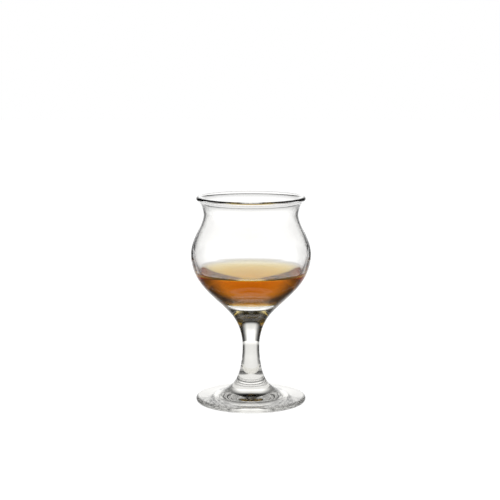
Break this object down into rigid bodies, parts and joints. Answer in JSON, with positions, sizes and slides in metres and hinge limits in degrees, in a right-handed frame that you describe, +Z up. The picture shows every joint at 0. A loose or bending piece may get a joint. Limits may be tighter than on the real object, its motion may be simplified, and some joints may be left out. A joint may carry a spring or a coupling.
{
  "type": "cognac glass",
  "caption": "Short-stemmed stemware glass with a round belly, drawn-in neck, turned-out lip and flat foot, holding a measure of spirit that can be swirled in the bowl.",
  "frame": {"origin": "centre of the foot's underside, on the surface that the glass stands on", "axes": "+Z up along the glass's axis; the glass is round, so +X and +Y are any two square directions"},
  "size_m": [0.0754, 0.0754, 0.1304],
  "materials": {
    "clear_glass": "polished",
    "spirit": "polished"
  },
  "bodies": {
    "glass": {"foot": "clear_glass", "stem": "clear_glass", "bowl": "clear_glass"},
    "cognac": {"cognac": "spirit"}
  },
  "joints": [
    {"name": "swirl", "type": "hinge", "parent": "glass", "child": "cognac", "pos_m": [0, 0, 0.0821], "axis": [0, 0, 1], "continuous": true}
  ]
}
